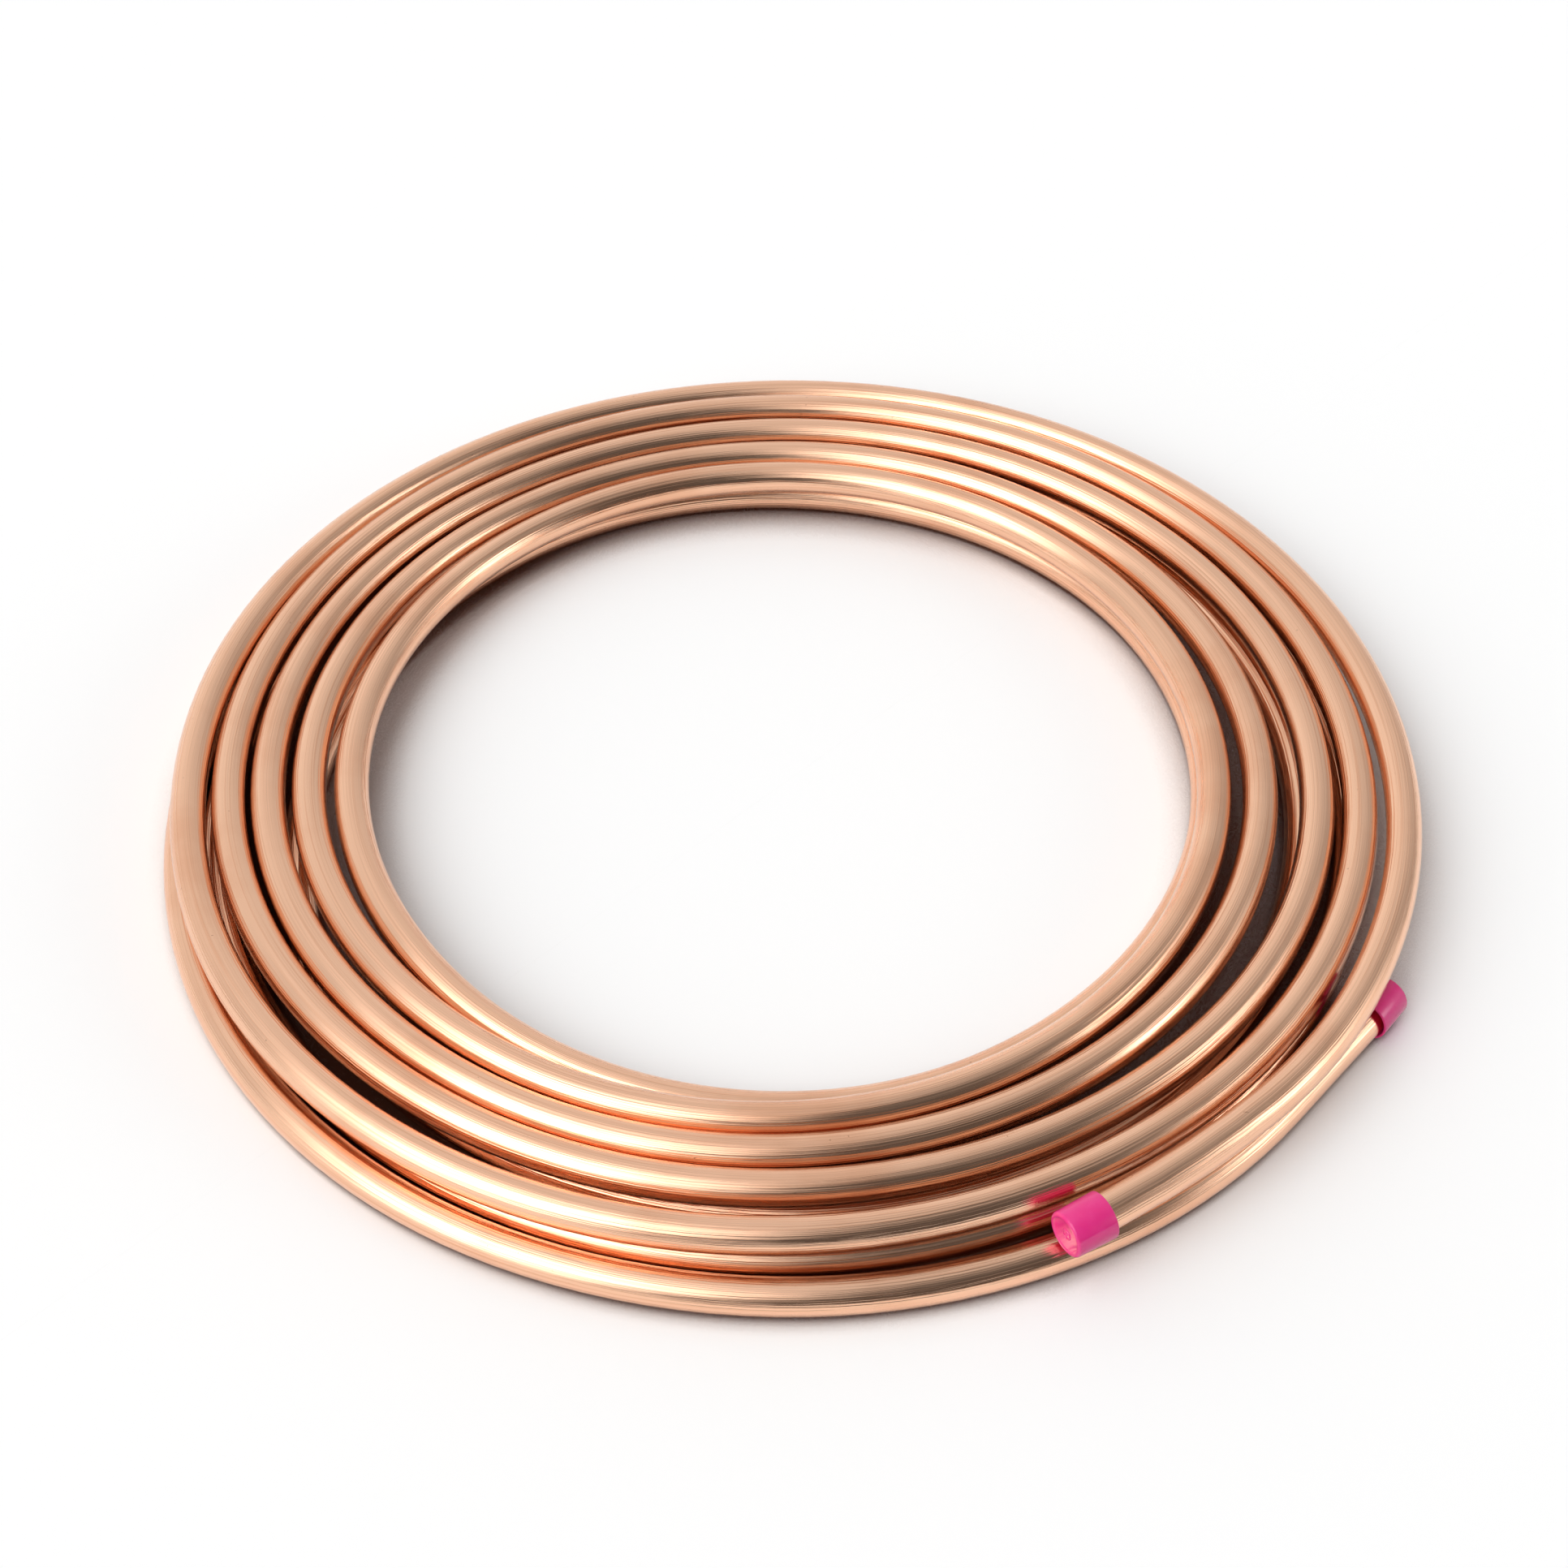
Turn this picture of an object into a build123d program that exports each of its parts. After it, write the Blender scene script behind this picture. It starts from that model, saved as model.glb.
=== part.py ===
"""A coil of soft copper tube, wound in two flat layers, with a push-on cap on each end.

The coil lies on a level floor at z = 0 with the axis of its eye on +Z. Seen from above, the tube
starts at its upper end in front, winds inwards anticlockwise through the upper layer, slopes down
at the inside and winds outwards again through the lower layer to its other end.
All sizes are in millimetres and all angles in degrees.
"""
import os
from dataclasses import dataclass
from itertools import accumulate, pairwise
from math import cos, radians, sin, sqrt

from build123d import *

# Tube section
TUBE_OD = 19.05
TUBE_WALL = 0.90

# Clear height between the lower and the upper layer
LAYER_CLEARANCE = 0.35

# Upper layer: centreline radius of its innermost turn on each side of the coil
UPPER_RIGHT = 240.8
UPPER_BACK = 243.4
UPPER_LEFT = 236.2
UPPER_FRONT = 256.1

# Upper layer: clear gaps between neighbouring turns, from the innermost outwards
UPPER_RIGHT_GAPS = (6.0, 12.0, 3.9, 3.2)
UPPER_BACK_GAPS = (1.7, 4.4, 5.5, 2.4)
UPPER_LEFT_GAPS = (4.4, 3.5, 2.4, 1.8)
UPPER_FRONT_GAPS = (0.9, 1.4, 7.7)

# Lower layer: centreline radius of its innermost turn on each side of the coil
LOWER_RIGHT = 241.0
LOWER_BACK = 251.3
LOWER_LEFT = 262.0
LOWER_FRONT = 298.0

# Lower layer: clear gaps between neighbouring turns, from the innermost outwards
LOWER_RIGHT_GAPS = (30.9, 7.7)
LOWER_BACK_GAPS = (18.7, 7.1)
LOWER_LEFT_GAPS = (27.0, 1.6)
LOWER_FRONT_GAPS = (6.0, 2.0)

# Slope from the upper to the lower layer: how far it is down as it passes the front,
# and its clearance to the upper turn that it leans on there
SLOPE_DROP = 12.4
SLOPE_CLEARANCE = 0.8

# Foot of the slope: how far round it comes after the front, how far it stands in from the turn
# that it runs into on the right, and how high it still lies above that turn
FOOT_ANGLE = 55.0
FOOT_DENT = 5.5
FOOT_LIFT = 1.6

# Outermost upper turn: it stands high on both sides and sags past the lower layer at the back
OUTER_RIGHT_LIFT = 2.0
OUTER_BACK_SAG = 4.2
OUTER_LEFT_LIFT = 1.5

# How far turns stand out or in halfway between two sides, beside an even spread: the outermost
# upper turn in at the back left and out at the front left, and in the lower layer the innermost
# turn out at the back right and again at the front left, and the two others out at the front left
OUTER_DENT = 1.6
OUTER_BULGE = 2.8
INNER_BULGE = 2.4
FIRST_BULGE = 9.0
LOWER_BULGE = 4.0

# Caps: loose cups, with slack all round the tube; each rests on the tube, or the tube on it
CAP_LENGTH = 22.5
CAP_WALL = 1.2
CAP_SLACK = 1.575
CAP_END = 2.0
CAP_TAPER = 1.4
CAP_EDGE_RADIUS = 1.4
CAP_CLEARANCE = 0.05

# Upper end: the angle where the tube stops, the way its straight run turns outwards there,
# and the clear gap between its cap and the upper turn beside it
UPPER_TIP_ANGLE = -67.3
UPPER_TIP_TURN = -8.8
UPPER_TIP_GAP = 7.1
UPPER_END_RUN = 26.0

# Lower end: the angle where the tube stops, the way its straight run turns outwards there,
# and how far the tip stands out beyond the upper turn that rides over its cap
LOWER_TIP_ANGLE = -27.5
LOWER_TIP_TURN = 13.6
LOWER_TIP_OFFSET = 8.4
LOWER_END_RUN = 95.0

# The upper turn that rides over the lower cap: where it does so, and how far it stands out there
RIDE_ANGLE = -30.0
RIDE_OFFSET = 3.9

# Sizes that follow
CAP_BORE = TUBE_OD + 2 * CAP_SLACK
CAP_OD = CAP_BORE + 2 * CAP_WALL
CAP_DROP = CAP_SLACK - CAP_CLEARANCE
LAYER_HEIGHT = TUBE_OD + LAYER_CLEARANCE
LOWER_Z = TUBE_OD / 2
UPPER_Z = LOWER_Z + LAYER_HEIGHT
LOWER_TIP_Z = CAP_OD / 2 - CAP_DROP
RIDE_Z = CAP_OD + LAYER_CLEARANCE + TUBE_OD / 2
SLOPE_RADIUS = UPPER_FRONT - sqrt((TUBE_OD + SLOPE_CLEARANCE) ** 2 - SLOPE_DROP**2)
QUARTER = 90


@dataclass(frozen=True)
class Crossing:
    """Where the tube's centreline passes a given angle round the coil."""

    angle: float
    radius: float
    height: float

    def point(self):
        """This place as a point in space."""
        around = radians(self.angle)
        return Vector(self.radius * cos(around), self.radius * sin(around), self.height)


@dataclass(frozen=True)
class Station:
    """A point on the tube's centreline and the direction that the tube takes there."""

    point: Vector
    direction: Vector


def stacked(innermost, gaps):
    """Centreline radii of neighbouring turns, from the innermost outwards."""
    return list(accumulate(gaps, lambda radius, gap: radius + TUBE_OD + gap, initial=innermost))


def halfway(before, after, offset):
    """A crossing midway between two others, moved outwards."""
    angle = (before.angle + after.angle) / 2
    radius = (before.radius + after.radius) / 2 + offset
    return Crossing(angle, radius, (before.height + after.height) / 2)


def tip_station(tip, turn):
    """A free end of the tube, turned outwards from the way round the coil."""
    heading = radians(tip.angle + QUARTER - turn)
    return Station(tip.point(), Vector(cos(heading), sin(heading), 0))


def station(before, here, after):
    """A crossing with its direction, from the crossings on each side of it."""
    turn_before = radians(here.angle - before.angle)
    turn_after = radians(after.angle - here.angle)
    out_before = (here.radius - before.radius) / turn_before
    out_after = (after.radius - here.radius) / turn_after
    outward = (out_before * turn_after + out_after * turn_before) / (turn_before + turn_after)
    rise_before = (here.height - before.height) / turn_before
    rise_after = (after.height - here.height) / turn_after
    # The tube is level where it stops rising or falling, and takes the gentler slope elsewhere
    both_ways = rise_before * rise_after > 0
    rise = 2 * rise_before * rise_after / (rise_before + rise_after) if both_ways else 0
    along = Vector(outward, here.radius, rise).rotate(Axis.Z, here.angle)
    return Station(here.point(), along.normalized())


def arc_joint(start, end):
    """Point and direction where two arcs meet that run smoothly from one station to the next."""
    chord = end.point - start.point
    both = start.direction + end.direction
    bend = 2 * (1 - start.direction.dot(end.direction))
    along = chord.dot(both)
    reach = (sqrt(along**2 + bend * chord.dot(chord)) - along) / bend
    corner_a = start.point + start.direction * reach
    corner_b = end.point - end.direction * reach
    return (corner_a + corner_b) * 0.5, (corner_b - corner_a).normalized()


# Turns of the upper layer, from the outermost inwards, quarter by quarter; the last one slopes down
upper_right = stacked(UPPER_RIGHT, UPPER_RIGHT_GAPS)
upper_back = stacked(UPPER_BACK, UPPER_BACK_GAPS)
upper_left = stacked(UPPER_LEFT, UPPER_LEFT_GAPS)
upper_front = stacked(UPPER_FRONT, UPPER_FRONT_GAPS)
upper_sides = [upper_right, upper_back, upper_left, [SLOPE_RADIUS, *upper_front]]
upper_radii = [radius for turn in zip(*map(reversed, upper_sides)) for radius in turn]
upper_heights = [UPPER_Z] * len(upper_radii)
upper_heights[0] += OUTER_RIGHT_LIFT
upper_heights[1] -= OUTER_BACK_SAG
upper_heights[2] += OUTER_LEFT_LIFT
upper_heights[-1] -= SLOPE_DROP

# Turns of the lower layer, from the innermost outwards, quarter by quarter
lower_right = stacked(LOWER_RIGHT, LOWER_RIGHT_GAPS)
lower_back = stacked(LOWER_BACK, LOWER_BACK_GAPS)
lower_left = stacked(LOWER_LEFT, LOWER_LEFT_GAPS)
lower_front = stacked(LOWER_FRONT, LOWER_FRONT_GAPS)
lower_radii = [radius for turn in zip(lower_right, lower_back, lower_left, lower_front) for radius in turn]
lower_heights = [LOWER_Z] * len(lower_radii)

# The whole route, anticlockwise from the upper tip to the lower tip
radii = upper_radii + lower_radii
heights = upper_heights + lower_heights
angles = [QUARTER * quarter for quarter in range(len(radii))]
ride = Crossing(RIDE_ANGLE, upper_right[-1] + RIDE_OFFSET, RIDE_Z)
quarters = list(map(Crossing, angles, radii, heights))
slope = len(upper_radii) - 1
between = {
    1: halfway(*quarters[1:3], -OUTER_DENT),
    2: halfway(*quarters[2:4], OUTER_BULGE),
    slope: Crossing(angles[slope] + FOOT_ANGLE, LOWER_RIGHT - FOOT_DENT, LOWER_Z + FOOT_LIFT),
    slope + 1: halfway(*quarters[slope + 1 : slope + 3], INNER_BULGE),
    slope + 3: halfway(*quarters[slope + 3 : slope + 5], FIRST_BULGE),
    slope + 7: halfway(*quarters[slope + 7 : slope + 9], LOWER_BULGE),
    slope + 11: halfway(*quarters[slope + 11 : slope + 13], LOWER_BULGE),
}
turns = [ride]
for number, quarter in enumerate(quarters):
    turns += [quarter, between[number]] if number in between else [quarter]
upper_tip_radius = upper_front[-1] + TUBE_OD / 2 + UPPER_TIP_GAP + CAP_OD / 2
upper_tip = Crossing(UPPER_TIP_ANGLE, upper_tip_radius, RIDE_Z)
lower_tip_angle = angles[-1] + QUARTER + LOWER_TIP_ANGLE
lower_tip = Crossing(lower_tip_angle, ride.radius + LOWER_TIP_OFFSET, LOWER_TIP_Z)
crossings = [upper_tip, *turns, lower_tip]

# A straight run lies behind each cut end
upper_end = tip_station(upper_tip, UPPER_TIP_TURN)
lower_end = tip_station(lower_tip, LOWER_TIP_TURN)
stations = [
    Station(upper_end.point + upper_end.direction * UPPER_END_RUN, upper_end.direction),
    *map(station, crossings, turns, crossings[2:]),
    Station(lower_end.point - lower_end.direction * LOWER_END_RUN, lower_end.direction),
]

with BuildLine() as centreline:
    Line(upper_end.point, stations[0].point)
    for start, end in pairwise(stations):
        joint, direction = arc_joint(start, end)
        TangentArc(start.point, joint, tangent=start.direction)
        TangentArc(joint, end.point, tangent=direction)
    Line(stations[-1].point, lower_end.point)

with BuildPart() as copper_tube:
    with BuildSketch(Plane(origin=upper_end.point, z_dir=upper_end.direction)) as section:
        Circle(TUBE_OD / 2)
        Circle(TUBE_OD / 2 - TUBE_WALL, mode=Mode.SUBTRACT)
    sweep(path=centreline.wire())
copper_tube.part.label = "copper_tube"

length = centreline.wire().length
print(f"Tube length {length:.1f} mm")
print(f"Volume {copper_tube.part.volume:.1f}, section times length {section.sketch.area * length:.1f}")


def end_cap(tip, outward, label):
    """A cup over a cut end of the tube, with its closed end outwards."""
    depth = CAP_LENGTH - CAP_END
    mouth = Plane(origin=tip - outward * (depth - CAP_CLEARANCE), z_dir=outward)
    with BuildPart() as cap:
        with BuildSketch(mouth):
            Circle(CAP_OD / 2)
        extrude(amount=CAP_LENGTH, taper=CAP_TAPER)
        closed_end = cap.faces().sort_by(Axis(mouth.origin, mouth.z_dir))[-1]
        fillet(closed_end.edges(), radius=CAP_EDGE_RADIUS)
        with BuildSketch(mouth):
            Circle(CAP_BORE / 2)
        extrude(amount=depth, mode=Mode.SUBTRACT)
    cap.part.label = label
    return cap.part


# The upper cap hangs on the tube, and the lower cap lies on the floor with the tube resting in it
drop = Vector(0, 0, CAP_DROP)
caps = [
    end_cap(upper_end.point - drop, -upper_end.direction, "upper_end_cap"),
    end_cap(lower_end.point + drop, lower_end.direction, "lower_end_cap"),
]

os.makedirs("parts", exist_ok=True)
for piece in [copper_tube.part, *caps]:
    export_step(piece, f"parts/{piece.label}.step")
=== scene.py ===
"""Looks of a coil of soft copper tube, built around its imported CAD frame.

The coil lies on the floor at z = 0 with the axis of its eye on +Z, and its front faces -Y. The tube
and its two end caps are modelled again here, in the places of their CAD solids, so that their
finishes can follow the surface. All lengths are in metres, and angles whose names end in _deg are
in degrees.
"""
import logging
from dataclasses import dataclass
from enum import Enum
from itertools import accumulate, chain, pairwise
from math import atan2, cos, radians, sin, sqrt, tau
from typing import Any

import bmesh
import bpy
from bmesh.types import BMesh, BMVert
from bpy.types import Material, Node, NodeSocket, NodeTree, Object
from mathutils import Matrix, Vector


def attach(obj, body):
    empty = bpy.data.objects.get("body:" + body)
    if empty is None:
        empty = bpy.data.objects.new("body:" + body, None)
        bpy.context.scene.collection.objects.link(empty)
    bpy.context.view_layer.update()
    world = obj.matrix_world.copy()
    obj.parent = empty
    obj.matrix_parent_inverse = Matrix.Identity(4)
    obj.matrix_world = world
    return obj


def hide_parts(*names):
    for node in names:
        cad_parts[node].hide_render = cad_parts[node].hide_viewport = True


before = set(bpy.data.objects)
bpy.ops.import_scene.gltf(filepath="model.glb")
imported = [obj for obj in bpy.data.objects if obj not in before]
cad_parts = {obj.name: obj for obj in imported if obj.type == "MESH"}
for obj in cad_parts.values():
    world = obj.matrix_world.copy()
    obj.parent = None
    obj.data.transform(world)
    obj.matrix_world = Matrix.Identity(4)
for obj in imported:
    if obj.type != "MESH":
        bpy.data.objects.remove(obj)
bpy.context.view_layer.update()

LOG = logging.getLogger("copper_tube_coil")
BODY = "root"
QUARTER_DEG = 90.0
UP = Vector((0.0, 0.0, 1.0))
ROUND_PROFILE = 0.5
Colour = tuple[float, float, float]
Direction = tuple[float, float, float]
# An input of a shader's ramp with the result there, and the two of them that a ramp runs between
Mark = tuple[float, float]
Ramp = tuple[Mark, Mark]


class Slot(Enum):
    """The record's material slots."""

    COPPER = "copper"
    CAP_PLASTIC = "cap_plastic"


class TubeEnd(Enum):
    """The two free ends of the tube, each with the CAD node of its cap."""

    UPPER = "upper_end_cap"
    LOWER = "lower_end_cap"


@dataclass(frozen=True)
class Crossing:
    """Where the tube's centreline passes a given angle round the coil."""

    angle_deg: float
    radius: float
    height: float

    def point(self) -> Vector:
        """This place as a point in space."""
        around = radians(self.angle_deg)
        return Vector((self.radius * cos(around), self.radius * sin(around), self.height))


@dataclass(frozen=True)
class Station:
    """A point on the centreline and the way that the tube runs there."""

    point: Vector
    heading: Vector


@dataclass(frozen=True)
class Straight:
    """A straight stretch of the centreline."""

    start: Vector
    end: Vector

    @property
    def length(self) -> float:
        """Length of the stretch."""
        return (self.end - self.start).length

    def spin_settings(self, step: float) -> dict[str, Any]:
        """How the spin operator draws a ring along this stretch, in one step whatever the angle."""
        return {"cent": self.start, "axis": UP, "dvec": self.end - self.start, "angle": 0.0, "steps": 1}

    def carry(self) -> Matrix:
        """The move that takes a ring from the start to the end."""
        return Matrix.Translation(self.end - self.start)


@dataclass(frozen=True)
class Arc:
    """A stretch of the centreline that leaves its start along a heading and bends evenly to its end."""

    start: Vector
    heading: Vector
    end: Vector

    @property
    def chord(self) -> Vector:
        """The way from the start to the end."""
        return self.end - self.start

    @property
    def sideways(self) -> Vector:
        """How far the end lies to the side of the heading."""
        return self.chord - self.heading * self.chord.dot(self.heading)

    @property
    def radius(self) -> float:
        """Radius of the bend."""
        return self.chord.length_squared / (2 * self.sideways.length)

    @property
    def angle(self) -> float:
        """Angle of the bend."""
        return 2 * atan2(self.sideways.length, self.chord.dot(self.heading))

    @property
    def length(self) -> float:
        """Length of the stretch."""
        return self.radius * self.angle

    @property
    def centre(self) -> Vector:
        """Centre of the bend."""
        return self.start + self.sideways.normalized() * self.radius

    @property
    def axis(self) -> Vector:
        """Axis of the bend."""
        return self.heading.cross(self.sideways).normalized()

    def spin_settings(self, step: float) -> dict[str, Any]:
        """How the spin operator draws a ring along this stretch, in steps of about that angle."""
        turn = {"angle": self.angle, "steps": max(1, round(self.angle / step))}
        return {"cent": self.centre, "axis": self.axis, "dvec": Vector(), **turn}

    def carry(self) -> Matrix:
        """The turn about the bend's axis that takes a ring from the start to the end."""
        away = Matrix.Translation(self.centre)
        return away @ Matrix.Rotation(self.angle, 4, self.axis) @ away.inverted()


Stretch = Straight | Arc


@dataclass(frozen=True)
class LayerSide:
    """One side of a layer of turns: its innermost turn and the clear gaps from there outwards."""

    innermost: float
    gaps: tuple[float, ...]

    def radii(self, tube: float) -> list[float]:
        """Centreline radii of the turns, from the innermost outwards, for a tube of that diameter."""
        return list(accumulate(self.gaps, lambda radius, gap: radius + tube + gap, initial=self.innermost))


@dataclass(frozen=True)
class CoilRoute:
    """The tube's centreline: inwards through the upper layer, down a slope, and outwards again below.

    The turns are given by their radii on the right, back, left and front of the coil. The outermost
    and innermost turns leave the even spread where they sag, stand in or out, or ride over a cap.
    """

    tube: float
    cap: float
    cap_drop: float
    layer_clearance: float = 0.00035
    upper_right: LayerSide = LayerSide(0.2408, (0.0060, 0.0120, 0.0039, 0.0032))
    upper_back: LayerSide = LayerSide(0.2434, (0.0017, 0.0044, 0.0055, 0.0024))
    upper_left: LayerSide = LayerSide(0.2362, (0.0044, 0.0035, 0.0024, 0.0018))
    upper_front: LayerSide = LayerSide(0.2561, (0.0009, 0.0014, 0.0077))
    lower_right: LayerSide = LayerSide(0.2410, (0.0309, 0.0077))
    lower_back: LayerSide = LayerSide(0.2513, (0.0187, 0.0071))
    lower_left: LayerSide = LayerSide(0.2620, (0.0270, 0.0016))
    lower_front: LayerSide = LayerSide(0.2980, (0.0060, 0.0020))
    slope_drop: float = 0.0124
    slope_clearance: float = 0.0008
    foot_angle_deg: float = 55.0
    foot_dent: float = 0.0055
    foot_lift: float = 0.0016
    outer_right_lift: float = 0.0020
    outer_back_sag: float = 0.0042
    outer_left_lift: float = 0.0015
    outer_dent: float = 0.0016
    outer_bulge: float = 0.0028
    inner_bulge: float = 0.0024
    first_bulge: float = 0.0090
    lower_bulge: float = 0.0040
    ride_angle_deg: float = -30.0
    ride_offset: float = 0.0039
    upper_tip_angle_deg: float = -67.3
    upper_tip_turn_deg: float = -8.8
    upper_tip_gap: float = 0.0071
    upper_end_run: float = 0.0260
    lower_tip_angle_deg: float = -27.5
    lower_tip_turn_deg: float = 13.6
    lower_tip_offset: float = 0.0084
    lower_end_run: float = 0.0950

    def crossings(self) -> list[Crossing]:
        """Every place that the centreline is led through.

        The sides are numbered along the route, from the right side of the outermost upper turn.

        Returns:
            The crossings from the upper tip to the lower tip, both included.
        """
        lower_z = self.tube / 2
        upper_z = lower_z + self.tube + self.layer_clearance
        ride_z = self.cap + self.layer_clearance + self.tube / 2
        right, back, left, front = (
            side.radii(self.tube)
            for side in (self.upper_right, self.upper_back, self.upper_left, self.upper_front)
        )
        lean = sqrt((self.tube + self.slope_clearance) ** 2 - self.slope_drop**2)
        sides = [right, back, left, [self.upper_front.innermost - lean, *front]]
        upper = list(chain(*zip(*map(reversed, sides))))
        below = (self.lower_right, self.lower_back, self.lower_left, self.lower_front)
        lower = list(chain(*zip(*(side.radii(self.tube) for side in below))))
        heights = [upper_z] * len(upper) + [lower_z] * len(lower)
        heights[0] += self.outer_right_lift
        heights[1] -= self.outer_back_sag
        heights[2] += self.outer_left_lift
        slope = len(upper) - 1
        heights[slope] -= self.slope_drop
        angles = [QUARTER_DEG * quarter for quarter in range(len(heights))]
        quarters = list(map(Crossing, angles, upper + lower, heights))
        # How far the tube stands out halfway to the next side, by the number of the side before
        offsets = {
            1: -self.outer_dent,
            2: self.outer_bulge,
            slope + 1: self.inner_bulge,
            slope + 3: self.first_bulge,
            slope + 7: self.lower_bulge,
            slope + 11: self.lower_bulge,
        }
        between = {
            number: self.halfway(quarters[number], quarters[number + 1], offset)
            for number, offset in offsets.items()
        }
        foot_angle = angles[slope] + self.foot_angle_deg
        foot_radius = self.lower_right.innermost - self.foot_dent
        between[slope] = Crossing(foot_angle, foot_radius, lower_z + self.foot_lift)
        ride = Crossing(self.ride_angle_deg, right[-1] + self.ride_offset, ride_z)
        turns = [ride]
        for number, quarter in enumerate(quarters):
            turns += [quarter, between[number]] if number in between else [quarter]
        upper_tip_radius = front[-1] + self.tube / 2 + self.upper_tip_gap + self.cap / 2
        upper_tip = Crossing(self.upper_tip_angle_deg, upper_tip_radius, ride_z)
        lower_tip_angle = angles[-1] + QUARTER_DEG + self.lower_tip_angle_deg
        lower_tip_z = self.cap / 2 - self.cap_drop
        lower_tip = Crossing(lower_tip_angle, ride.radius + self.lower_tip_offset, lower_tip_z)
        return [upper_tip, *turns, lower_tip]

    @staticmethod
    def halfway(before: Crossing, after: Crossing, offset: float) -> Crossing:
        """A crossing midway between two others.

        Args:
            before: The crossing before it.
            after: The crossing after it.
            offset: How far it is moved outwards.

        Returns:
            The crossing.
        """
        angle = (before.angle_deg + after.angle_deg) / 2
        radius = (before.radius + after.radius) / 2 + offset
        return Crossing(angle, radius, (before.height + after.height) / 2)

    @staticmethod
    def station(before: Crossing, here: Crossing, after: Crossing) -> Station:
        """A crossing with its heading, from the crossings on each side of it.

        Args:
            before: The crossing that the tube comes from.
            here: The crossing itself.
            after: The crossing that the tube goes to.

        Returns:
            The crossing's point, and a heading that is level where the tube stops rising or falling.
        """
        turn_before = radians(here.angle_deg - before.angle_deg)
        turn_after = radians(after.angle_deg - here.angle_deg)
        out_before = (here.radius - before.radius) / turn_before
        out_after = (after.radius - here.radius) / turn_after
        outward = (out_before * turn_after + out_after * turn_before) / (turn_before + turn_after)
        rise_before = (here.height - before.height) / turn_before
        rise_after = (after.height - here.height) / turn_after
        both_ways = rise_before * rise_after > 0
        rise = 2 * rise_before * rise_after / (rise_before + rise_after) if both_ways else 0.0
        level = Matrix.Rotation(radians(here.angle_deg), 3, "Z")
        return Station(here.point(), (level @ Vector((outward, here.radius, rise))).normalized())

    def tip(self, end: TubeEnd) -> Station:
        """A free end of the tube.

        Args:
            end: Which of the two ends.

        Returns:
            The middle of the cut, and the way that the tube runs there.
        """
        crossings = self.crossings()
        if end is TubeEnd.UPPER:
            place, turn = crossings[0], self.upper_tip_turn_deg
        else:
            place, turn = crossings[-1], self.lower_tip_turn_deg
        heading = radians(place.angle_deg + QUARTER_DEG - turn)
        return Station(place.point(), Vector((cos(heading), sin(heading), 0.0)))

    @staticmethod
    def bend(start: Station, end: Station) -> list[Arc]:
        """Lead smoothly from one station to the next.

        Args:
            start: The station that the tube leaves.
            end: The station that it comes to.

        Returns:
            Two arcs, which share their direction where they meet.
        """
        chord = end.point - start.point
        turning = 2 * (1 - start.heading.dot(end.heading))
        along = chord.dot(start.heading + end.heading)
        reach = (sqrt(along**2 + turning * chord.dot(chord)) - along) / turning
        corner_a = start.point + start.heading * reach
        corner_b = end.point - end.heading * reach
        joint = (corner_a + corner_b) / 2
        return [
            Arc(start.point, start.heading, joint),
            Arc(joint, (corner_b - corner_a).normalized(), end.point),
        ]

    def stretches(self) -> list[Stretch]:
        """The whole centreline.

        Returns:
            Its straight runs and arcs in order, from the upper tip to the lower tip.
        """
        crossings = self.crossings()
        upper, lower = self.tip(TubeEnd.UPPER), self.tip(TubeEnd.LOWER)
        first = Station(upper.point + upper.heading * self.upper_end_run, upper.heading)
        last = Station(lower.point - lower.heading * self.lower_end_run, lower.heading)
        middle = map(self.station, crossings, crossings[1:-1], crossings[2:])
        stations = [first, *middle, last]
        arcs = chain.from_iterable(self.bend(start, end) for start, end in pairwise(stations))
        return [Straight(upper.point, first.point), *arcs, Straight(last.point, lower.point)]


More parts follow.
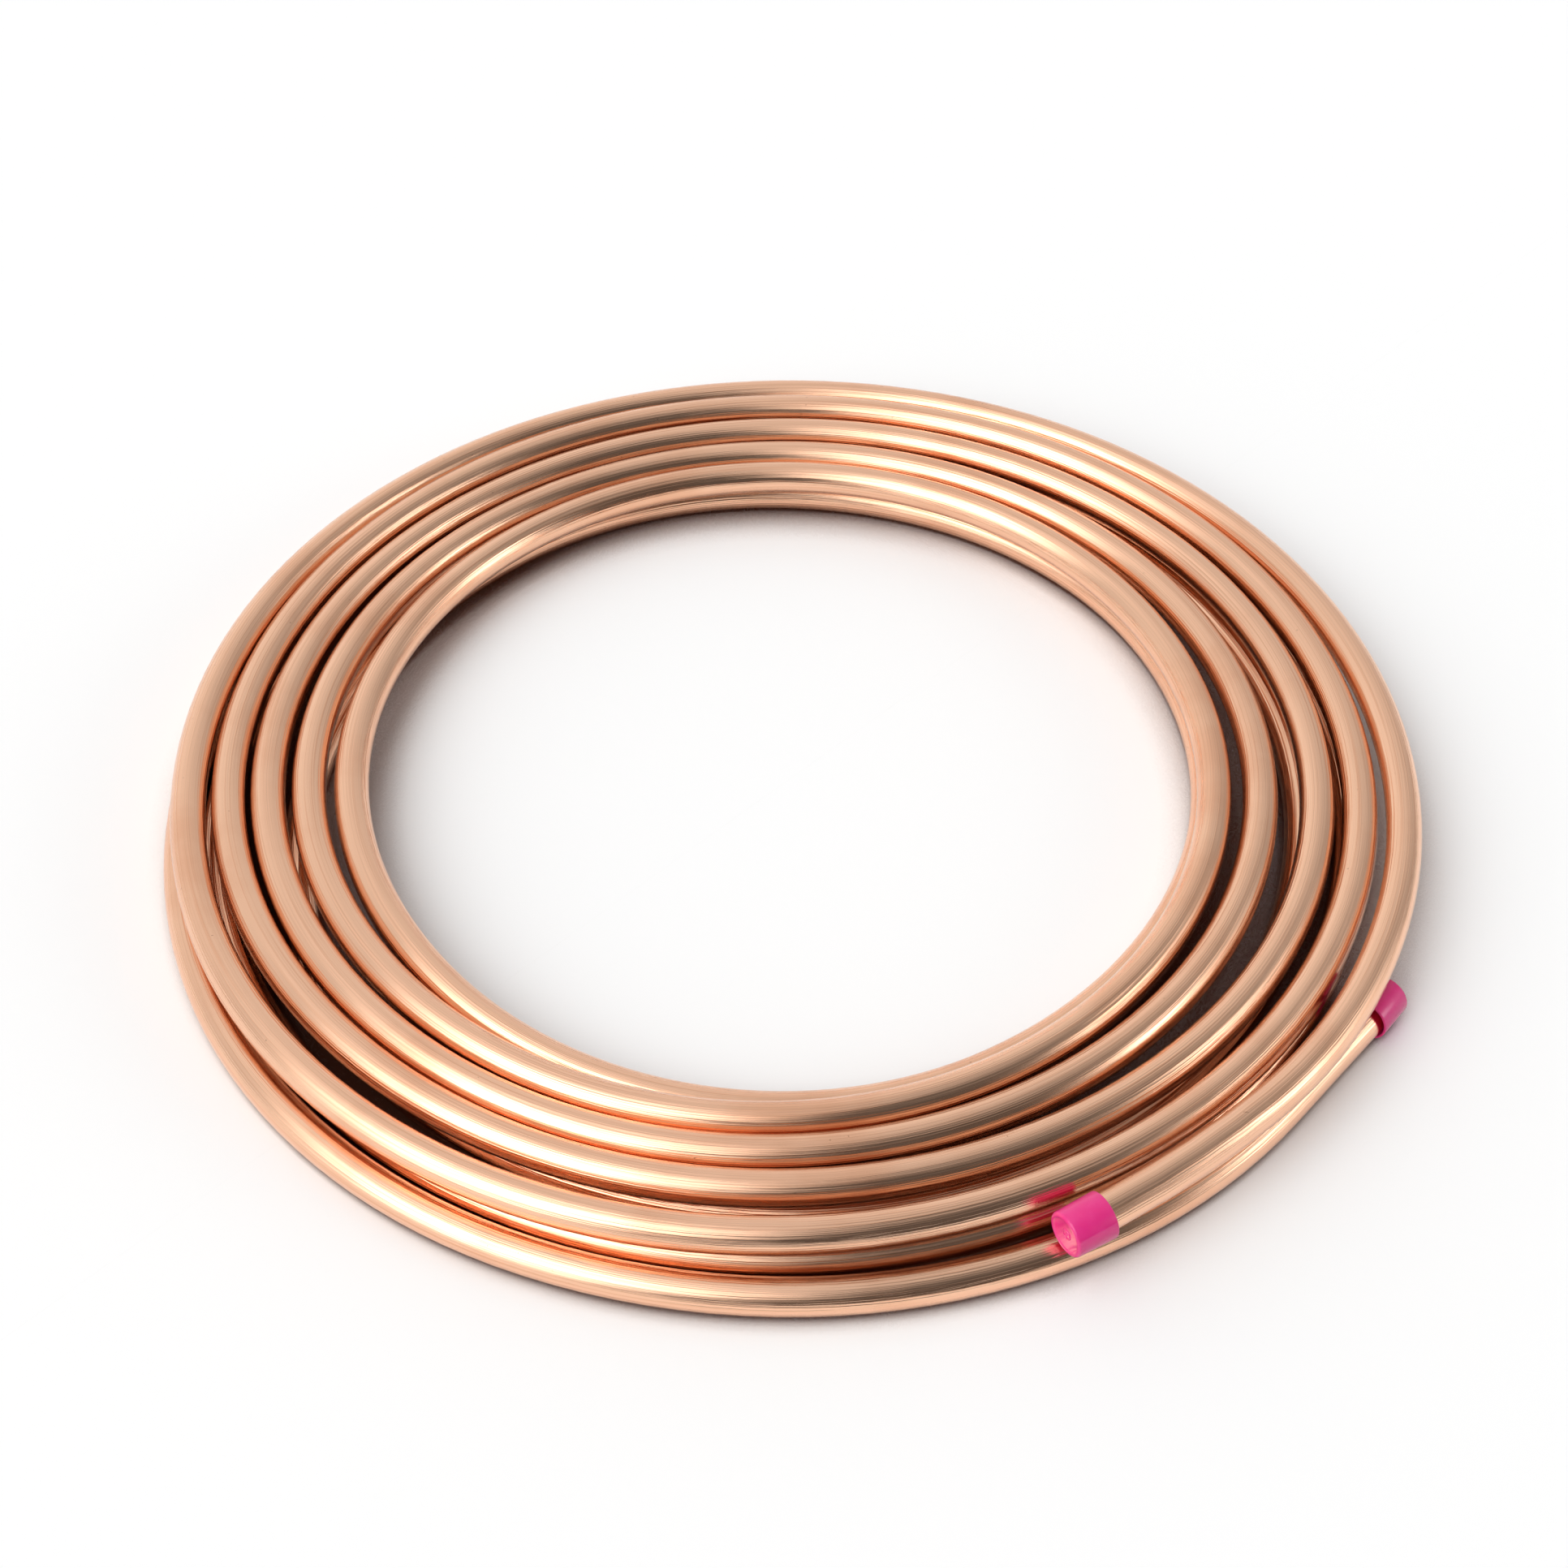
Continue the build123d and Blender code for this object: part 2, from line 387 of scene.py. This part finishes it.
class ShaderSheet:
    """A material's node tree, filled node by node."""

    def __init__(self, tree: NodeTree) -> None:
        """Start with an empty tree."""
        self.tree = tree
        self.tree.nodes.clear()

    def add(self, kind: str, inputs: dict[str | int, Any] | None = None, **settings: Any) -> Node:
        """Add one node.

        Args:
            kind: The node's type, such as ShaderNodeTexNoise.
            inputs: Values or sockets for the node's inputs, by their name or number.
            settings: The node's own properties.

        Returns:
            The new node.
        """
        node = self.tree.nodes.new(kind)
        for name, value in settings.items():
            setattr(node, name, value)
        for key, value in (inputs or {}).items():
            if isinstance(value, NodeSocket):
                self.tree.links.new(value, node.inputs[key])
            else:
                node.inputs[key].default_value = value
        return node

    def noise(self, vector: NodeSocket, scale: float, detail: float) -> NodeSocket:
        """Noise at a scale and detail, read at a vector."""
        inputs = {"Vector": vector, "Scale": scale, "Detail": detail}
        return self.add("ShaderNodeTexNoise", inputs).outputs["Fac"]

    def stretched(self, vector: NodeSocket, factors: Direction) -> NodeSocket:
        """A vector times a factor for each of its directions."""
        node = self.add("ShaderNodeVectorMath", {0: vector, 1: factors}, operation="MULTIPLY")
        return node.outputs["Vector"]

    def ramp(self, value: NodeSocket, ends: Ramp) -> NodeSocket:
        """A smooth step between two levels.

        Args:
            value: What the step depends on.
            ends: Where the step starts and ends, with the level there.

        Returns:
            The level.
        """
        low, high = ends
        inputs = {"Value": value, 1: low[0], 2: high[0], 3: low[1], 4: high[1]}
        node = self.add("ShaderNodeMapRange", inputs, interpolation_type="SMOOTHSTEP")
        return node.outputs["Result"]

    def facing(self, way: NodeSocket, middle: Direction, low: Mark, high: Mark) -> NodeSocket:
        """A level that depends on how far a direction faces a middle one.

        Args:
            way: The direction.
            middle: The middle direction.
            low: The cosine of the angle between them, and the level there and beyond it.
            high: The cosine nearer to the middle, and the level from there on.

        Returns:
            The level.
        """
        turned = self.add("ShaderNodeVectorMath", {0: way, 1: middle}, operation="DOT_PRODUCT")
        inputs = {"Value": turned.outputs["Value"], 1: low[0], 2: high[0], 3: low[1], 4: high[1]}
        return self.add("ShaderNodeMapRange", inputs).outputs["Result"]

    def blend(self, share: NodeSocket, first: Any, second: Any) -> NodeSocket:
        """Mix one colour into another.

        Args:
            share: The second colour's share.
            first: The first colour, as a Colour or a socket.
            second: The second colour, in the same way.

        Returns:
            The mixed colour.
        """
        first, second = (
            (*colour, 1.0) if isinstance(colour, tuple) else colour for colour in (first, second)
        )
        node = self.add("ShaderNodeMix", {0: share, 6: first, 7: second}, data_type="RGBA")
        return node.outputs[2]

    def surface(self, shader: NodeSocket, kind: str = "ShaderNodeOutputMaterial") -> None:
        """Show a shader as the surface."""
        self.add(kind, {"Surface": shader})


@dataclass(frozen=True)
class CopperFinish:
    """Bright drawn copper with fine lines along the tube, faint tarnish and a few specks."""

    name: str = "drawn_copper"
    winding: str = "winding"
    bright: Colour = (0.95, 0.575, 0.385)
    tarnished: Colour = (0.80, 0.41, 0.245)
    speck: Colour = (0.30, 0.14, 0.08)
    roughness: Ramp = ((0.75, 0.09), (1.25, 0.17))
    line_density: float = 11.0
    line_stretch: float = 6.0
    line_detail: float = 3.0
    line_height: float = 0.0006
    line_relief: float = 0.5
    line_share: Ramp = ((0.48, 0.0), (0.72, 0.60))
    blotch_scale: float = 13.0
    blotch_detail: float = 4.0
    blotch_share: Ramp = ((0.48, 0.0), (0.74, 0.55))
    speck_scale: float = 420.0
    speck_detail: float = 1.0
    speck_share: Ramp = ((0.79, 0.0), (0.83, 0.55))

    def material(self) -> Material:
        """Mix the finish.

        Returns:
            The material, which reads the tube's winding attribute.
        """
        material = bpy.data.materials.new(self.name)
        material.use_nodes = True
        sheet = ShaderSheet(material.node_tree)
        place = sheet.add("ShaderNodeTexCoord").outputs["Object"]
        winding = sheet.add("ShaderNodeAttribute", attribute_name=self.winding).outputs["Vector"]
        along = (self.line_density, self.line_density, self.line_stretch)
        lines = sheet.noise(sheet.stretched(winding, along), 1.0, self.line_detail)
        blotches = sheet.noise(place, self.blotch_scale, self.blotch_detail)
        specks = sheet.noise(place, self.speck_scale, self.speck_detail)
        streaked = sheet.blend(sheet.ramp(lines, self.line_share), self.bright, self.tarnished)
        worn = sheet.blend(sheet.ramp(blotches, self.blotch_share), streaked, self.tarnished)
        spotted = sheet.blend(sheet.ramp(specks, self.speck_share), worn, self.speck)
        uneven = sheet.add("ShaderNodeMath", {0: lines, 1: blotches}, operation="ADD").outputs[0]
        relief = {"Strength": self.line_relief, "Distance": self.line_height, "Height": lines}
        bump = sheet.add("ShaderNodeBump", relief)
        shader = sheet.add(
            "ShaderNodeBsdfPrincipled",
            {
                "Base Color": spotted,
                "Metallic": 1.0,
                "Roughness": sheet.ramp(uneven, self.roughness),
                "Normal": bump.outputs["Normal"],
            },
        )
        sheet.surface(shader.outputs[0])
        return material


@dataclass(frozen=True)
class CapFinish:
    """Glossy moulded plastic with a soft glow below its skin and faint flow marks."""

    name: str = "moulded_magenta"
    colour: Colour = (0.80, 0.032, 0.235)
    pale: Colour = (0.84, 0.055, 0.280)
    roughness: Ramp = ((0.35, 0.06), (0.75, 0.13))
    glow: float = 0.12
    glow_depth: float = 0.0015
    flow_scale: float = 160.0
    flow_detail: float = 4.0
    flow_height: float = 0.0001
    flow_relief: float = 0.015
    flow_share: Ramp = ((0.40, 0.0), (0.75, 0.35))

    def material(self) -> Material:
        """Mix the finish.

        Returns:
            The material.
        """
        material = bpy.data.materials.new(self.name)
        material.use_nodes = True
        sheet = ShaderSheet(material.node_tree)
        place = sheet.add("ShaderNodeTexCoord").outputs["Object"]
        flow = sheet.noise(place, self.flow_scale, self.flow_detail)
        relief = {"Strength": self.flow_relief, "Distance": self.flow_height, "Height": flow}
        bump = sheet.add("ShaderNodeBump", relief)
        shader = sheet.add(
            "ShaderNodeBsdfPrincipled",
            {
                "Base Color": sheet.blend(sheet.ramp(flow, self.flow_share), self.colour, self.pale),
                "Roughness": sheet.ramp(flow, self.roughness),
                "Subsurface Weight": self.glow,
                "Subsurface Scale": self.glow_depth,
                "Normal": bump.outputs["Normal"],
            },
        )
        sheet.surface(shader.outputs[0])
        return material


Finish = CopperFinish | CapFinish


def finished_piece(mesh: BMesh, name: str, finish: Finish, node: str) -> Object:
    """Turn a modelled mesh into a piece of the part.

    Args:
        mesh: The mesh, in the part's own frame. It is used up.
        name: The piece's name.
        finish: What its surface looks like.
        node: The CAD node that it stands for.

    Returns:
        The piece, which rides on the part's one body.
    """
    data = bpy.data.meshes.new(name)
    mesh.to_mesh(data)
    mesh.free()
    data.materials.append(finish.material())
    piece = bpy.data.objects.new(name, data)
    bpy.context.scene.collection.objects.link(piece)
    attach(piece, BODY)
    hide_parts(node)
    return piece


@dataclass
class WoundTube:
    """The copper tube: a skin and a bore that follow the route, joined by a ring at each cut end.

    Each stretch is drawn in a mesh of its own, because the spin operator is slow in a large one. The
    skin lies a hair inside the CAD solid's.
    """

    diameter: float = 0.01905
    wall: float = 0.0009
    skin_inset: float = 0.00002
    skin_sides: int = 48
    bore_sides: int = 16
    step_deg: float = 2.5
    weld_distance: float = 0.00002

    def draw(self, whole: BMesh, stretch: Stretch, cut: Matrix, travelled: float) -> None:
        """Draw the skin and the bore along one stretch and add them to the tube.

        The winding attribute of each vertex gets its place round the section and along the tube.

        Args:
            whole: The tube's mesh.
            stretch: The stretch of the route.
            cut: Where the section stands at the start of the stretch.
            travelled: Length of the tube before the stretch.
        """
        skin = self.diameter / 2 - self.skin_inset
        bore = self.diameter / 2 - self.wall
        settings = stretch.spin_settings(radians(self.step_deg))
        for radius, sides in ((skin, self.skin_sides), (bore, self.bore_sides)):
            length = bmesh.new()
            winding = length.verts.layers.float_vector.new(CopperFinish.winding)
            ring = bmesh.ops.create_circle(length, segments=sides, radius=radius)["verts"]
            for vert in ring:
                vert[winding] = (vert.co.x / radius, vert.co.y / radius, 0.0)
            bmesh.ops.transform(length, matrix=cut, verts=ring)
            bmesh.ops.spin(length, geom=length.verts[:] + length.edges[:], **settings)
            for number, vert in enumerate(length.verts):
                passed = number // sides / settings["steps"]
                vert[winding].z = travelled + stretch.length * passed
            data = bpy.data.meshes.new("tube_length")
            length.to_mesh(data)
            length.free()
            whole.from_mesh(data)
            bpy.data.meshes.remove(data)

    def build(self, route: CoilRoute) -> Object:
        """Model the tube along its route.

        Args:
            route: The tube's centreline.

        Returns:
            The finished piece.
        """
        mesh = bmesh.new()
        winding = mesh.verts.layers.float_vector.new(CopperFinish.winding)
        tip = route.tip(TubeEnd.UPPER)
        cut = Matrix.Translation(tip.point) @ tip.heading.to_track_quat("Z", "Y").to_matrix().to_4x4()
        travelled = 0.0
        for stretch in route.stretches():
            self.draw(mesh, stretch, cut, travelled)
            cut = stretch.carry() @ cut
            travelled += stretch.length
        bmesh.ops.remove_doubles(mesh, verts=mesh.verts[:], dist=self.weld_distance)
        for face in mesh.faces:
            face.smooth = True
        rims = [edge for edge in mesh.edges if edge.is_boundary]
        for at_start in (True, False):
            rim = [edge for edge in rims if (edge.verts[0][winding].z < travelled / 2) is at_start]
            bmesh.ops.bridge_loops(mesh, edges=rim)
        for edge in rims:
            edge.smooth = False
        bmesh.ops.recalc_face_normals(mesh, faces=mesh.faces[:])
        return finished_piece(mesh, "wound_tube", CopperFinish(), "copper_tube")


@dataclass
class EndCap:
    """A loose moulded cup over a cut end, with a dished face, a small raised ring and a gate nib."""

    tube: float
    length: float = 0.0225
    wall: float = 0.0012
    slack: float = 0.001575
    end_wall: float = 0.0020
    taper_deg: float = 1.4
    clearance: float = 0.00005
    edge_radius: float = 0.0014
    lip_radius: float = 0.0004
    dish_radius: float = 0.0094
    dish_edge: float = 0.0005
    dish_depth: float = 0.0011
    dish_slope: float = 0.0006
    ring_radius: float = 0.0031
    ring_width: float = 0.0010
    ring_height: float = 0.0005
    nib_radius: float = 0.0006
    nib_height: float = 0.0004
    detail_radius: float = 0.0002
    weld_distance: float = 0.00001
    steps: int = 72
    corner_segments: int = 4

    @property
    def bore(self) -> float:
        """Radius of the inside."""
        return self.tube / 2 + self.slack

    @property
    def drop(self) -> float:
        """How far the cap lies below or above the tube's middle, resting on it or carrying it."""
        return self.slack - self.clearance

    @property
    def outer(self) -> float:
        """Outside diameter at the mouth."""
        return 2 * (self.bore + self.wall)

    def profile(self) -> list[tuple[float, float, float]]:
        """Half of the cap's section, from the middle of its face round the mouth to the inside.

        Returns:
            The corners as (radius, distance from the mouth, rounding).
        """
        shrink = self.length * sin(radians(self.taper_deg))
        floor = self.length - self.dish_depth
        nib = floor + self.nib_height
        ring = floor + self.ring_height
        inner_ring = self.ring_radius - self.ring_width
        depth = self.length - self.end_wall
        small = self.detail_radius
        tiny = small / 2
        return [
            (0.0, nib, 0.0),
            (self.nib_radius, nib, small),
            (self.nib_radius + small, floor, tiny),
            (inner_ring, floor, tiny),
            (inner_ring + small, ring, small),
            (self.ring_radius - small, ring, small),
            (self.ring_radius, floor, tiny),
            (self.dish_radius - self.dish_slope, self.length - self.dish_edge, small),
            (self.dish_radius, self.length, small),
            (self.outer / 2 - shrink, self.length, self.edge_radius),
            (self.outer / 2, 0.0, self.lip_radius),
            (self.bore, 0.0, small),
            (self.bore, depth, small),
            (0.0, depth, 0.0),
        ]

    def build(self, route: CoilRoute, end: TubeEnd) -> Object:
        """Model the cap on one end of the tube.

        Args:
            route: The tube's centreline.
            end: Which of its ends.

        Returns:
            The finished piece.
        """
        mesh = bmesh.new()
        corners = self.profile()
        verts = [mesh.verts.new((radius, 0.0, along)) for radius, along, _ in corners]
        for pair in pairwise(verts):
            mesh.edges.new(pair)
        for vert, (_, _, rounding) in zip(verts, corners):
            if rounding:
                self.round_corner(mesh, vert, rounding)
        bmesh.ops.spin(
            mesh,
            geom=mesh.verts[:] + mesh.edges[:],
            axis=UP,
            angle=tau,
            steps=self.steps,
            use_merge=True,
        )
        bmesh.ops.remove_doubles(mesh, verts=mesh.verts[:], dist=self.weld_distance)
        bmesh.ops.recalc_face_normals(mesh, faces=mesh.faces[:])
        for face in mesh.faces:
            face.smooth = True
        bmesh.ops.transform(mesh, matrix=self.seat(route.tip(end), end), verts=mesh.verts[:])
        return finished_piece(mesh, f"moulded_{end.value}", CapFinish(), end.value)

    def round_corner(self, mesh: BMesh, corner: BMVert, rounding: float) -> None:
        """Round one corner of the section.

        Args:
            mesh: The section's mesh.
            corner: The corner.
            rounding: How far the rounding reaches along each side of it.
        """
        bmesh.ops.bevel(
            mesh,
            geom=[corner],
            offset=rounding,
            affect="VERTICES",
            segments=self.corner_segments,
            profile=ROUND_PROFILE,
            material=-1,
        )

    def seat(self, tip: Station, end: TubeEnd) -> Matrix:
        """Find where the cap sits: the upper one hangs on the tube, and the lower one lies on the floor.

        Args:
            tip: The cut end of the tube.
            end: Which of the two ends it is.

        Returns:
            The move that takes the cap there, just clear of the cut.
        """
        outward, rise = (-tip.heading, -self.drop) if end is TubeEnd.UPPER else (tip.heading, self.drop)
        depth = self.length - self.end_wall
        mouth = tip.point - outward * (depth - self.clearance) + UP * rise
        return Matrix.Translation(mouth) @ outward.to_track_quat("Z", "Y").to_matrix().to_4x4()


@dataclass(frozen=True)
class Glow:
    """A soft round light in the room: even in its middle, and fading out from there."""

    azimuth_deg: float
    elevation_deg: float
    core_deg: float
    reach_deg: float
    brightness: float

    def shine(self, sheet: ShaderSheet, way: NodeSocket, level: NodeSocket) -> NodeSocket:
        """Add the light to the room.

        Args:
            sheet: The room's node tree.
            way: The direction that is looked in.
            level: The room's brightness without the light.

        Returns:
            The brightness with it.
        """
        around, up = radians(self.azimuth_deg), radians(self.elevation_deg)
        middle = (cos(around) * cos(up), sin(around) * cos(up), sin(up))
        edge, core = cos(radians(self.reach_deg)), cos(radians(self.core_deg))
        near = sheet.facing(way, middle, (edge, 0.0), (core, 1.0))
        rounded = sheet.add("ShaderNodeMath", {0: near, 1: near}, operation="MULTIPLY").outputs[0]
        inputs = {0: rounded, 1: self.brightness, 2: level}
        return sheet.add("ShaderNodeMath", inputs, operation="MULTIPLY_ADD").outputs[0]


@dataclass
class Studio:
    """A pale floor, with painted shade between the coil's turns, in a softly lit room: a bright wall, a
    large soft light and four smaller ones.
    """

    floor_size: float = 40.0
    floor_seen: Colour = (1.0, 1.0, 1.0)
    floor_bounce: Colour = (0.60, 0.60, 0.60)
    # Painted shade on the floor between the turns: how far the occlusion looks, its dark brown colour, how
    # it fades in, and its samples
    gap_reach: float = 0.12
    painted_gap_shade: Colour = (0.10, 0.040, 0.026)
    gap_open: Ramp = ((0.28, 0.0), (0.48, 1.0))
    gap_samples: int = 4
    room_colour: Colour = (1.0, 1.0, 1.0)
    wall_azimuth_deg: float = 122.0
    wall_bright: float = 0.96
    wall_dark: float = 0.11
    wall_turn: float = -0.6
    key: Glow = Glow(222.0, 46.0, 12.0, 42.0, 2.9)
    low: Glow = Glow(220.0, 10.0, 0.0, 44.0, 1.2)
    top: Glow = Glow(165.0, 72.0, 0.0, 36.0, 0.55)
    side: Glow = Glow(356.0, 16.0, 0.0, 36.0, 1.15)
    window: Glow = Glow(350.0, 19.0, 0.0, 17.0, 2.4)

    def build(self) -> None:
        """Make the floor and the room."""
        self.lay_floor()
        self.light_room()

    def lay_floor(self) -> None:
        """Make the floor that the coil lies on."""
        mesh = bmesh.new()
        bmesh.ops.create_grid(mesh, x_segments=1, y_segments=1, size=self.floor_size / 2)
        data = bpy.data.meshes.new("studio_floor")
        mesh.to_mesh(data)
        mesh.free()
        material = bpy.data.materials.new("matt_paper")
        material.use_nodes = True
        sheet = ShaderSheet(material.node_tree)
        path = sheet.add("ShaderNodeLightPath").outputs
        seen = path["Is Camera Ray"]
        for ray in ("Is Glossy Ray", "Is Transmission Ray"):
            seen = sheet.add("ShaderNodeMath", {0: seen, 1: path[ray]}, operation="MAXIMUM").outputs[0]
        colour = sheet.blend(seen, self.floor_bounce, self.floor_seen)
        # Between the turns, where little light gets in, the floor is painted a dark brown: painted shade,
        # found by ambient occlusion and tinted as if by light off the copper
        reach = {"Distance": self.gap_reach}
        openness = sheet.add("ShaderNodeAmbientOcclusion", reach, samples=self.gap_samples)
        share = sheet.ramp(openness.outputs["AO"], self.gap_open)
        shader = sheet.add("ShaderNodeBsdfDiffuse", {"Color": sheet.blend(share, self.painted_gap_shade, colour)})
        sheet.surface(shader.outputs[0])
        data.materials.append(material)
        floor = bpy.data.objects.new("studio_floor", data)
        bpy.context.scene.collection.objects.link(floor)

    def light_room(self) -> None:
        """Light the room evenly from its bright wall to its dark side, and by its soft lights."""
        world = bpy.data.worlds.new("studio_room")
        world.use_nodes = True
        sheet = ShaderSheet(world.node_tree)
        around = radians(self.wall_azimuth_deg)
        way = sheet.add("ShaderNodeTexCoord").outputs["Generated"]
        towards_wall = (cos(around), sin(around), 0.0)
        level = sheet.facing(way, towards_wall, (self.wall_turn, self.wall_dark), (1.0, self.wall_bright))
        for light in (self.key, self.low, self.top, self.side, self.window):
            level = light.shine(sheet, way, level)
        # The camera sees the room as white as the floor; the room's lights stay as they are
        seen = sheet.add("ShaderNodeLightPath").outputs["Is Camera Ray"]
        level = sheet.add("ShaderNodeMath", {0: level, 1: seen}, operation="MAXIMUM").outputs[0]
        room = sheet.add("ShaderNodeBackground", {"Color": (*self.room_colour, 1.0), "Strength": level})
        sheet.surface(room.outputs[0], "ShaderNodeOutputWorld")
        bpy.context.scene.world = world


@dataclass
class Viewpoint:
    """The camera, at the photograph's angle."""

    place: tuple[float, float, float] = (0.0032, -1.0095, 1.0254)
    elevation_deg: float = 45.38
    lens_mm: float = 58.42
    sensor_mm: float = 36.0

    def build(self) -> None:
        """Make the camera and look through it."""
        lens = bpy.data.cameras.new("viewpoint")
        lens.lens = self.lens_mm
        lens.sensor_width = self.sensor_mm
        camera = bpy.data.objects.new("viewpoint", lens)
        camera.location = self.place
        camera.rotation_euler = (radians(QUARTER_DEG - self.elevation_deg), 0.0, 0.0)
        bpy.context.scene.collection.objects.link(camera)
        bpy.context.scene.camera = camera


def main() -> None:
    """Build the coil, its caps and the studio, and report each piece."""
    logging.basicConfig(level=logging.INFO, format="%(name)s: %(message)s")
    bpy.context.scene.view_settings.view_transform = "Standard"
    tube = WoundTube()
    cap = EndCap(tube=tube.diameter)
    route = CoilRoute(tube=tube.diameter, cap=cap.outer, cap_drop=cap.drop)
    pieces = [tube.build(route), *(cap.build(route, end) for end in TubeEnd)]
    for piece in pieces:
        LOG.info("%s: %d faces", piece.name, len(piece.data.polygons))
    LOG.info("tube length %.3f m", sum(stretch.length for stretch in route.stretches()))
    Studio().build()
    Viewpoint().build()


if __name__ == "__main__":
    main()
